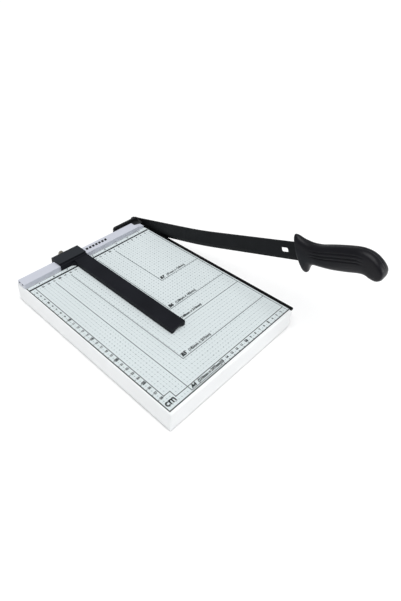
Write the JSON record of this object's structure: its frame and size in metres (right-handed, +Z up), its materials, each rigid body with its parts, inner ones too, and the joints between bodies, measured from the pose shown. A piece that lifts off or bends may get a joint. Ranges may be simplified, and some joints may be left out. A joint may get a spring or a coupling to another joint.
{
  "type": "guillotine paper cutter",
  "caption": "Desk guillotine paper cutter with a white steel ruled bed, rear fence, black sliding guide and raised curved blade.",
  "frame": {"origin": "centre of the footprint of the cutter as drawn, on the floor under the rubber feet", "axes": "+X towards the blade side, +Y towards the fence and the blade's pivot, +Z up; the handle points to -Y"},
  "size_m": [0.2658, 0.4418, 0.1679],
  "materials": {
    "white_steel": "fine-textured powder coat, printed bed on top",
    "fence_paint": "satin paint",
    "black_steel": "satin black coat, ground edge",
    "handle_plastic": "moulded, fine grain",
    "guide_plastic": "moulded, satin",
    "foot_rubber": "matt",
    "zinc_steel": "zinc plated",
    "bush_brass": "turned",
    "nickel": "nickel plated, knurled"
  },
  "bodies": {
    "base": {"base_pan": "white_steel", "bed_stiffener": "white_steel", "edge_bar": "zinc_steel", "foot_plates": "white_steel", "rubber_feet": "foot_rubber", "foot_screws": "zinc_steel", "fence": "fence_paint", "fence_screws": "zinc_steel", "fixed_blade": "black_steel", "fixed_blade_screws": "black_steel", "pivot_bracket": "black_steel", "bracket_screws": "black_steel", "bracket_nuts": "zinc_steel", "pivot_stud": "zinc_steel", "pivot_spring_washer": "zinc_steel", "pivot_flat_washer": "zinc_steel", "pivot_lock_nut": "zinc_steel"},
    "blade": {"moving_blade": "black_steel", "pivot_bush": "bush_brass", "handle_left_shell": "handle_plastic", "handle_right_shell": "handle_plastic", "handle_screws": "zinc_steel", "handle_inserts": "bush_brass"},
    "guide": {"guide_body": "guide_plastic", "guide_insert": "bush_brass"},
    "clamp_pad": {"guide_clamp_pad": "bush_brass"},
    "thumb_screw": {"guide_thumb_screw": "nickel"}
  },
  "joints": [
    {"name": "blade_pivot", "type": "hinge", "parent": "base", "child": "blade", "pos_m": [0.1214, 0.204, 0.0245], "axis": [-1, 0, 0], "range_deg": [-14.2, 50]},
    {"name": "guide_slide", "type": "slide", "parent": "base", "child": "guide", "axis": [1, 0, 0], "range_m": [-0.058, 0.075]},
    {"name": "pad_slide", "type": "slide", "parent": "guide", "child": "clamp_pad", "axis": [0, -1, 0], "range_m": [-0.000524, 0.000466]},
    {"name": "thumb_turn", "type": "hinge", "parent": "clamp_pad", "child": "thumb_screw", "pos_m": [-0.0434, 0.204, 0.0365], "axis": [0, 1, 0], "range_deg": [-270, 240]}
  ],
  "couplings": [
    {"joint": "thumb_turn", "follows": "pad_slide", "rad_per_m": 8976}
  ]
}
